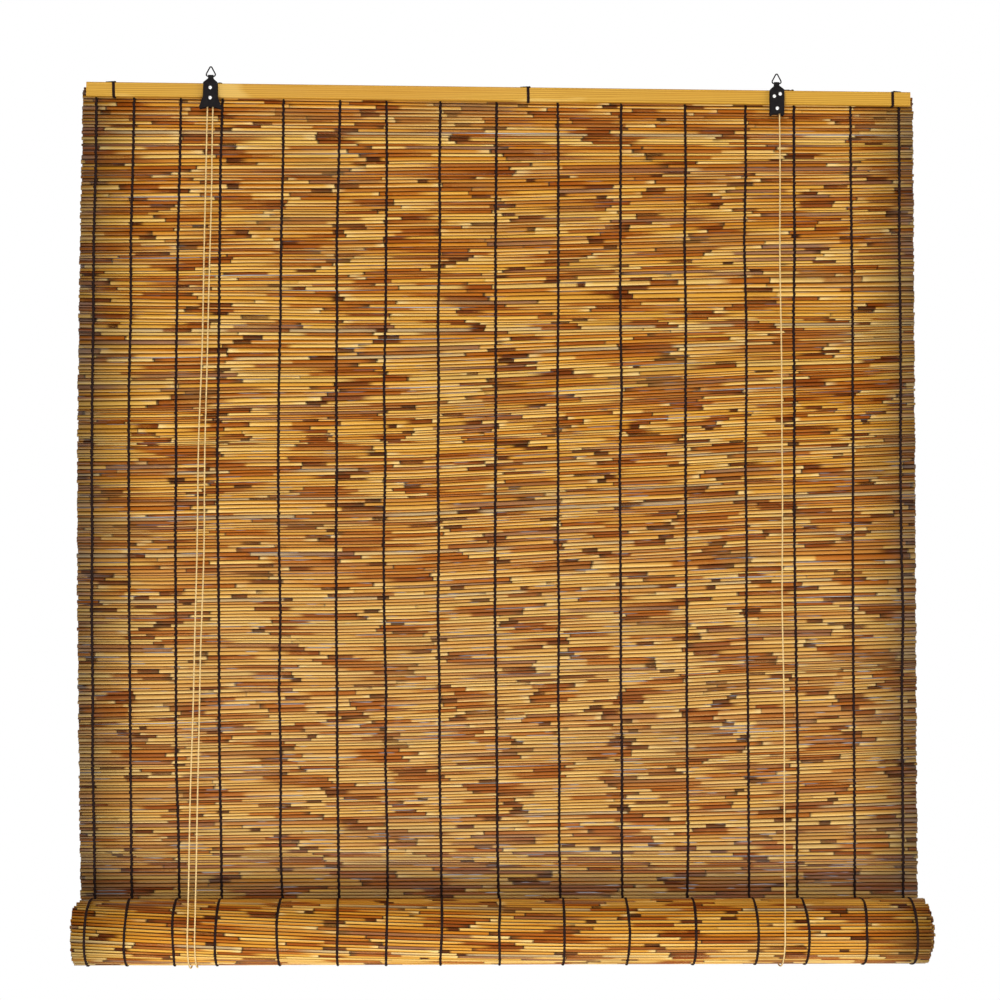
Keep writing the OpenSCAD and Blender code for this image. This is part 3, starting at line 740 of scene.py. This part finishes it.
def build_roll():
    turns = roll_places()
    count = len(turns)
    radius = (roll_radius(turns) + rng.uniform(*OUT_JITTER, count))[:, None]
    angle = -2 * math.pi * turns
    inner = np.clip(turns - BULGE_FROM, 0, None) / (turns[-1] - BULGE_FROM)
    stand = ROLL_BULGE * np.clip(BULGE_START + (1 - BULGE_START) * inner, 0, 1) * (turns > 0.9)
    upper = np.clip(np.cos(angle - LEFT_STEP_ANGLE), 0, 1)
    left = -MAT_W / 2 + LEFT_STEP * upper ** 1.5 + rng.uniform(*LEFT_JITTER, count)
    right = MAT_W / 2 + stand + rng.uniform(*RIGHT_JITTER, count)
    x = left[:, None] + (right - left)[:, None] * (UNIT[:, 0] + 0.5)
    taper = rng.normal(0, ROLL_TAPER_SPREAD, count)[:, None] * UNIT[:, 0]
    half = REED_PITCH / 2 * ROLL_OVERLAP * (1 + taper)
    sway = (np.cumsum(rng.normal(0, 0.004, count)) * 0.3)[:, None] * np.sin(4 * x)
    round_at = angle[:, None] + roll_twist(x) + sway + half * UNIT[:, 2] / radius
    out = radius + ROLL_REED_R * UNIT[:, 1] * (1 + 0.3 * taper)
    y, z = AXIS_Y + out * np.cos(round_at), AXIS_Z + out * np.sin(round_at)
    coordinates = np.stack([x + FOOT_DRIFT, y, z], 2)
    build_reeds("roll_reeds", x, coordinates, ROLL_TONE, "roll", "reed_roll", ROLL_REED)


# Twines

TWINE_R = 0.0017
# Thickness on a reed, between two reeds and over the top reed, as shares of the radius
TWINE_KNOT, TWINE_WAIST, TWINE_CROWN = 1.06, 0.86, 0.9
# Spread of the thickness on a reed, in the mat and round the roll
MAT_KNOT_SPREAD, RING_KNOT_SPREAD = 0.07, 0.06
# How far the twine's middle lies out from a reed's front and back, as shares of the radius
FRONT_STAND, BACK_STAND = 0.35, 0.25
# How far the strand slants from reed to reed, with its spread, and dips between them
TWINE_SLANT, SLANT_SPREAD = 0.00035, 0.00012
TWINE_DIP = 0.0011
# Sideways wander: points along the mat and round the roll, and their spreads
MAT_BENDS, MAT_WANDER = 12, 0.0007
RING_BENDS, RING_WANDER = 7, 0.0009
# Turns that a ring goes round the roll, and its height over a reed and between two reeds
RING_TURNS = 1.04
RING_CREST, RING_DIP = 0.0017, 0.0009
TIE_R = 0.0010
TIE_PITCH = 0.0016
WISP_REACH = 0.0078
WISP_R = 0.0006
WISP_KNOT_R = 0.0007


def build_twine(name, routes, radii, body, nodes):
    return placed(name, strand_mesh(name, routes, radii), body, "twine", nodes, TWINE)


def twine_route(i):
    """Up the back of the mat, over its top reed and down the front, dipping between the reeds."""
    high, low, depth = (edge[:, 0] for edge in mat_rows([TWINE_X[i]]))
    middle = (high + low) / 2
    plane = mat_depth(middle)
    bends = rng.normal(0, MAT_WANDER, MAT_BENDS)
    wander = TWINE_X[i] + np.interp(middle, np.linspace(MAT_END, MAT_TOP, MAT_BENDS), bends)
    x = wander + hang(TWINE_X[i], middle)
    front_y = plane + PROUD - depth - FRONT_STAND * TWINE_R
    batten_y = BATTEN_HIGH[1] + TWINE_R + 0.0001
    behind_batten = middle > BATTEN_LOW[2] - 0.001
    front_y = np.where(behind_batten, np.maximum(front_y, batten_y), front_y)
    back_y = plane + PROUD + depth + BACK_STAND * TWINE_R
    route, radius = [], []
    for rows, y, edge, way in ((range(MAT_ROWS - 1, -1, -1), back_y, high, -1),
                               (range(MAT_ROWS), front_y, low, 1)):
        for k in rows:
            radius += [TWINE_R * rng.normal(TWINE_KNOT, MAT_KNOT_SPREAD), TWINE_R * TWINE_WAIST]
            crest_x = x[k] + TWINE_SLANT * (-1) ** k + rng.normal(0, SLANT_SPREAD)
            route += [(crest_x, y[k], middle[k]), (x[k], plane[k] - way * TWINE_DIP, edge[k])]
        if way < 0:
            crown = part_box(TWINES[i])[1][2]
            top_x = wander[0] + hang(TWINE_X[i], MAT_TOP)
            route += [(top_x, MAT_BACK - 0.0003, crown - 0.0014), (top_x, MAT_Y, crown - TWINE_R),
                      (top_x, MAT_FRONT + 0.0006, crown - 0.0014)]
            radius += [TWINE_R * TWINE_CROWN] * 3
    return np.array(route), np.array(radius)


def build_twines():
    for i, name in enumerate(TWINES):
        route, radius = twine_route(i)
        obj = build_twine("warp_" + name, [route], [radius], "blind", [name])
        shorten(obj)


def build_roll_twines():
    """Twines over the outer turn, following its reeds and dipping under the mat at the end."""
    turns = roll_places()
    turns = turns[turns < RING_TURNS]
    half_reed = REED_PITCH / 2 / ROLL_R
    routes, radii = [], []
    for twine_x in TWINE_X:
        bends = rng.normal(0, RING_WANDER, RING_BENDS)
        wander = np.interp(turns, np.linspace(0, RING_TURNS, RING_BENDS), bends)
        route, radius = [], []
        for x, turn in zip(twine_x + FOOT_DRIFT + wander, turns):
            knot = rng.normal(TWINE_KNOT, RING_KNOT_SPREAD)
            for step, out, thick in ((0.0, RING_CREST, knot), (half_reed, RING_DIP, TWINE_WAIST)):
                angle = -2 * math.pi * turn - step + roll_twist(twine_x)
                r = roll_radius(turn) + out
                route.append((x, AXIS_Y + r * math.cos(angle), AXIS_Z + r * math.sin(angle)))
                radius.append(TWINE_R * thick)
        routes.append(np.array(route))
        radii.append(np.array(radius))
    build_twine("roll_twine_rings", routes, radii, "roll", ["roll_twines"])


def build_ties():
    """Two turns of twine round the batten and through the mat, with a short end along the top."""
    for name, end in (("left_tie", -1), ("middle_tie", -1), ("right_tie", 1)):
        (_, front, bottom), (_, back, top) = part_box(name)
        x = middle_of(name)[0]
        front, back, bottom, top = front + TIE_R, back - TIE_R, bottom + TIE_R, top - TIE_R
        loop = [(front, top), (front, bottom), (back, bottom), (back, top)]
        route = [(x + TIE_PITCH * (k / 4 - 1), *loop[k % 4]) for k in range(9)]
        route += [(x + 0.001, front + 0.001, top + 0.0004), (x + end * 0.004, front + 0.002, top + 0.0003),
                  (x + end * 0.010, front + 0.0025, top)]
        points, _ = spaced(route, 0.0011)
        radius = TIE_R * (1 + 0.08 * np.sin(np.arange(len(points)) * 1.9))
        build_twine(name + "_lashing", [points], [radius], "blind", [name])


def build_wisps():
    """Ends of two twines, knotted at the top reed and led over the batten to the hangers."""
    back, top = BATTEN_HIGH[1], BATTEN_HIGH[2]
    routes, radii = [], []
    for i, end_x in ((3, LEFT_X + WISP_REACH), (13, RIGHT_X + WISP_REACH)):
        x, crown = TWINE_X[i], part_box(TWINES[i])[1][2]
        route = [(x, MAT_Y, crown - 0.001), (x - 0.0006, back + 0.0008, top + 0.0006),
                 (x - 0.0022, back - 0.0012, top + 0.0015), (x - 0.0050, back - 0.0022, top + 0.0009),
                 ((x + end_x) / 2, back - 0.0030, top + 0.0013), (end_x, back - 0.0036, top + 0.0008)]
        points, places = spaced(route, 0.0008)
        routes.append(points)
        radii.append(WISP_R + WISP_KNOT_R * np.exp(-((places - 0.3 * places[-1]) / 0.0016) ** 2))
    build_twine("twine_ends", routes, radii, "blind", [])


# Cords

LEFT_TOP = (LEFT_X - GROOVE_R, LEG_MIDDLE_Y, LEFT_AXLE_Z)
PULL_TOP = (LEFT_X + GROOVE_R, LEG_MIDDLE_Y, LEFT_AXLE_Z)
RIGHT_TOP = (RIGHT_X + GROOVE_R, LEG_MIDDLE_Y, RIGHT_CORD_TOP_Z)
FRONT_SLACK, BACK_SLACK = 0.0006, 0.0002
SLACK_STEP = 0.03
BIGHT_POINTS = 30
# Angles before and after the tuck over which the left bight stands off the pull cord's end
TUCK_REACH = 50
# Where the pull cord's end goes over to the left bight, from its last angle on its own circle
TAIL_TURN = -30
TAIL_CROSSING = [(PULL_X - 0.001, -18), (PULL_X - 0.004, -8), (LIFT_X, 0), (PULL_X - 0.014, 5)]
# From behind the mat up to its top edge and on to it: inwards, share of the way forward, and height
CROSS_CORNER = [(0, 0, -0.0163), (0, 0, -0.010), (0.001, 0, -0.005), (0.004, 0, -0.0015), (0.008, 0, 0),
                (0.014, 0.4, 0), (0.020, 1, 0)]
CROSS_POINTS = 14
KNOT_CORD_R = 0.0008
KNOT_W, KNOT_D = 0.00125, 0.0006


def round_roll(x, angle, r=BIGHT_R):
    turn = math.radians(angle)
    return (x, AXIS_Y + r * math.cos(turn), AXIS_Z + r * math.sin(turn))


def round_groove(x, z, from_angle, to_angle):
    turns = np.radians(np.linspace(from_angle, to_angle, 40))
    return [(x + GROOVE_R * math.cos(t), LEG_MIDDLE_Y, z + GROOVE_R * math.sin(t)) for t in turns]


def touch_angle(top):
    """Where a straight cord from its top meets the bights' circle at the roll's front."""
    y, z = top[1] - AXIS_Y, top[2] - AXIS_Z
    return math.degrees(math.atan2(z, y) + math.acos(BIGHT_R / math.hypot(y, z)))


def between(a, b, z):
    """The point at a height on the line from a to b."""
    a, b = np.array(a), np.array(b)
    return a + (b - a) * (z - a[2]) / (b[2] - a[2])


def slack(points, amount):
    """A hung cord isn't dead straight: a small sideways wander in two slow waves, none at its ends."""
    route, places = spaced(points, SLACK_STEP)
    share = places / places[-1]
    first, second = rng.uniform(0, 2 * math.pi, 2)
    waves = np.sin(15 * share + first) + 0.6 * np.sin(27 * share + second)
    route[:, 0] += amount * waves * np.sin(math.pi * share) ** 0.5
    return route


def cord_piece(name, node, route, body, radius=CORD_R):
    return placed(name, twisted_cord(name, route, radius), body, "cord", [node], CORD)


def build_front_cord(name, node, top, x):
    """A cord from its hanger to the roll. What hangs inside the strap keeps its length."""
    foot = round_roll(x, touch_angle(top))
    end = between(top, foot, AXIS_Z + BIGHT_RISE - CORD_GAP)
    route = slack([top, end], FRONT_SLACK)
    obj = cord_piece(name, node, route, "blind")
    shorten(obj)


def build_back_cord(name, node, x):
    """A cord behind the mat, from its top to the roll."""
    low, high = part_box(node)
    y = middle_of(node)[1]
    top, end = (x, y, high[2] + CORD_GAP), (x, y, low[2] - CORD_GAP)
    route = slack([top, end], BACK_SLACK)
    obj = cord_piece(name, node, route, "blind")
    shorten(obj)


def bight_points(top, x, end_angle, stand_off=0.0):
    """From a front cord's end round under the roll, standing off where the pull cord's end is tucked."""
    start = touch_angle(top)
    points = [tuple(between(top, round_roll(x, start), AXIS_Z + BIGHT_RISE))]
    for angle in np.linspace(start, end_angle, BIGHT_POINTS):
        near = max(0, 1 - abs(angle - TUCK_ANGLE) / TUCK_REACH)
        points.append(round_roll(x, angle, BIGHT_R + stand_off * math.sin(math.pi / 2 * near) ** 2))
    return points


def build_bights():
    """The cord's turns under the roll, with the pull cord's end tucked under the left one."""
    for name, node, top, x, stand_off in (
            ("bight_left", "left_bight", LEFT_TOP, LIFT_X, 2 * CORD_R + CORD_GAP),
            ("bight_right", "right_bight", RIGHT_TOP, RIGHT_CORD_X, 0.0)):
        route = bight_points(top, x, 360, stand_off)
        cord_piece(name, node, route, "lift_loops")
    tail = bight_points(PULL_TOP, PULL_X, TUCK_ANGLE + TAIL_TURN)
    tail += [round_roll(x, TUCK_ANGLE + turn) for x, turn in TAIL_CROSSING]
    obj = cord_piece("tail_of_pull_cord", "pull_cord_tail", tail, "lift_loops")
    build_knot()


def build_knot():
    """A small overhand knot, as a trefoil."""
    turns = np.linspace(0, 2 * math.pi, 60)
    trefoil = np.stack([KNOT_W * (np.sin(turns) + 2 * np.sin(2 * turns)) / 2.2,
                        KNOT_W * (np.cos(turns) - 2 * np.cos(2 * turns)) / 2.2,
                        -KNOT_D * np.sin(3 * turns)], 1)
    route = trefoil + middle_of("pull_cord_knot")
    return cord_piece("knot", "pull_cord_knot", route, "lift_loops", KNOT_CORD_R)


def build_cross_cord():
    """The run over the top reed, from one back cord to the other."""
    _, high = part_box("cross_cord")
    cross_z, back_y = high[2] - CORD_R, high[1] - CORD_R
    left, right = (
        [(x + way * inwards, back_y - forward * (back_y - MAT_Y), cross_z + rise)
         for inwards, forward, rise in CROSS_CORNER]
        for x, way in ((LIFT_X, 1), (RIGHT_CORD_X, -1)))
    span = [tuple(point) for point in np.linspace(left[-1], right[-1], CROSS_POINTS)[1:-1]]
    route = left + span + right[::-1]
    cord_piece("cord_along_top", "cross_cord", route, "blind")


def build_cords():
    over_sheave = cord_piece("cord_over_sheave", "sheave_cord",
                             round_groove(LEFT_X, LEFT_AXLE_Z, 0, 180), "blind")
    round_thimble = cord_piece("cord_round_thimble", "right_cord_loop",
                               round_groove(RIGHT_X, RIGHT_THIMBLE_Z, -50, 310), "blind")
    build_front_cord("lift_cord_left", "left_lift_cord", LEFT_TOP, LIFT_X)
    build_front_cord("pull_cord_strand", "pull_cord", PULL_TOP, PULL_X)
    build_front_cord("lift_cord_right", "right_lift_cord", RIGHT_TOP, RIGHT_CORD_X)
    build_back_cord("back_cord_left", "left_back_cord", LIFT_X)
    build_back_cord("back_cord_right", "right_back_cord", RIGHT_CORD_X)
    build_bights()
    build_cross_cord()


# Kept solids

def dress_solids():
    """The rigid CAD nodes keep their shape and get their finish."""
    for finish, nodes in (
            (BATTEN, ("head_batten", "foot_batten")),
            (IRON, ("left_ring", "right_ring", "left_strap", "right_strap", "left_spacer", "right_spacers",
                    "left_sheave", "right_thimble")),
            (RIVET, ("left_fixing_rivet", "left_axle_rivet", "right_fixing_rivets", "right_thimble_rivet"))):
        for node in nodes:
            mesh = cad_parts[node].data
            mesh.materials.clear()
            mesh.materials.append(finish)


# Stage

WHITE = (1, 1, 1, 1)
FLOOR_HALF_W = 6.0
FLOOR_DROP = 1.75
FLOOR_GLOW = 0.75
WORLD_LIGHT = 0.30
# Name, place, aim, size and power
LAMPS = [("key", (-0.35, -1.95, -2.2), (0, 0, -0.58), 0.9, 42),
         ("fill", (-0.2, -2.5, 1.1), (0, 0, -0.45), 1.4, 32),
         ("side", (1.9, -2.2, -0.4), (0.1, 0, -0.6), 1.2, 15)]
SENSOR_W = 36.0
# Lens as a share of the sensor's width
LENS_SHARE = 2.0106
CAMERA_AT = (-0.0821, -2.4, -0.5625)
# Yaw, pitch and roll in degrees
CAMERA_TURNS = (1.98, 1.146, 0.28)


def seen_rays(tree):
    """Mask of the rays that show a thing itself, straight or in a reflection."""
    rays = put(tree, "ShaderNodeLightPath").outputs
    mirrored = maths(tree, "MAXIMUM", rays["Is Glossy Ray"], rays["Is Transmission Ray"])
    return maths(tree, "MAXIMUM", rays["Is Camera Ray"], mirrored)


def build_floor():
    bm = bmesh.new()
    bmesh.ops.create_grid(bm, x_segments=1, y_segments=1, size=FLOOR_HALF_W)
    bmesh.ops.translate(bm, verts=bm.verts, vec=(0, 0, AXIS_Z - FLOOR_DROP))
    mesh = bpy.data.meshes.new("floor")
    bm.to_mesh(mesh)
    bm.free()
    floor = bpy.data.objects.new("floor", mesh)
    bpy.context.scene.collection.objects.link(floor)
    material, tree, shader = new_finish("pale floor")
    fill(tree, shader, {"Base Color": (0.86, 0.86, 0.86, 1), "Roughness": 0.9})
    glow = {"Color": WHITE, "Strength": times(tree, seen_rays(tree), FLOOR_GLOW)}
    glow = put(tree, "ShaderNodeEmission", glow)
    both = put(tree, "ShaderNodeAddShader", {0: shader.outputs[0], 1: glow.outputs[0]})
    tree.links.new(both.outputs[0], tree.nodes["Material Output"].inputs["Surface"])
    mesh.materials.append(material)


def build_light():
    """A white world that lights less than it shows, and three lamps."""
    scene = bpy.context.scene
    world = bpy.data.worlds.new("studio")
    world.use_nodes = True
    scene.world = world
    tree = world.node_tree
    strength = remap(tree, seen_rays(tree), 0, 1, WORLD_LIGHT, 1.0, "LINEAR")
    fill(tree, tree.nodes["Background"], {"Color": WHITE, "Strength": strength})
    for name, place, aim, size, power in LAMPS:
        lamp = bpy.data.lights.new(name, "AREA")
        lamp.size = size
        lamp.energy = power
        obj = bpy.data.objects.new(name, lamp)
        obj.location = place
        obj.rotation_euler = (Vector(aim) - Vector(place)).to_track_quat("-Z", "Y").to_euler()
        scene.collection.objects.link(obj)
    scene.view_settings.view_transform = "Standard"


def build_camera():
    """The photograph's viewpoint: level with the mat's middle, a little to the left, slightly rolled."""
    data = bpy.data.cameras.new("camera")
    data.sensor_width = SENSOR_W
    data.lens = SENSOR_W * LENS_SHARE
    yaw, pitch, roll = (math.radians(a) for a in CAMERA_TURNS)
    ahead = Vector((math.sin(yaw) * math.cos(pitch), math.cos(yaw) * math.cos(pitch), math.sin(pitch)))
    level = Vector((math.cos(yaw), -math.sin(yaw), 0))
    upright = level.cross(ahead)
    right = level * math.cos(roll) + upright * math.sin(roll)
    up = upright * math.cos(roll) - level * math.sin(roll)
    turn = Matrix((right, up, -ahead)).transposed().to_4x4()
    camera = bpy.data.objects.new("camera", data)
    camera.matrix_world = Matrix.Translation(CAMERA_AT) @ turn
    bpy.context.scene.collection.objects.link(camera)
    bpy.context.scene.camera = camera


build_camera()
build_floor()
build_light()
build_cords()
build_mat()
build_roll()
build_twines()
build_roll_twines()
build_ties()
build_wisps()
dress_solids()

bpy.data.meshes.remove(TEMPLATE)
